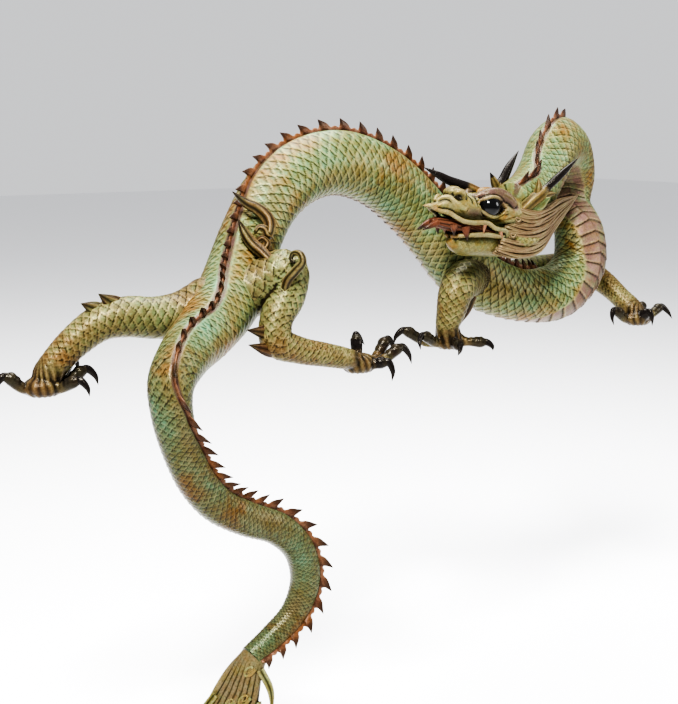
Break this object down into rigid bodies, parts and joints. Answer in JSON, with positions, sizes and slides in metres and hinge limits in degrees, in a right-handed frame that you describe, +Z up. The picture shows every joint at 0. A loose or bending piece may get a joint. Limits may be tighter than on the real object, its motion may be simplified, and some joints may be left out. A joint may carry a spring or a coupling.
{
  "type": "dragon sculpture",
  "caption": "Cast bronze dragon climbing on clawed feet, its spiked body arched, neck coiled, tail hanging below the level of its soles.",
  "frame": {"origin": "middle of the sole of the right forefoot, on the level that all four soles rest on", "axes": "+X along the row of feet, from the hind feet to the forefeet; +Y to the dragon's left, away from the hanging tail; +Z up, square to the soles"},
  "size_m": [1.265, 0.3212, 0.9454],
  "materials": {
    "bronze": "cast bronze with a green, ochre and brown patina, waxed",
    "eye_glass": "polished opaque black glass"
  },
  "bodies": {
    "root": {"dragon": "bronze", "eye_left": "eye_glass", "eye_right": "eye_glass"}
  },
  "joints": []
}
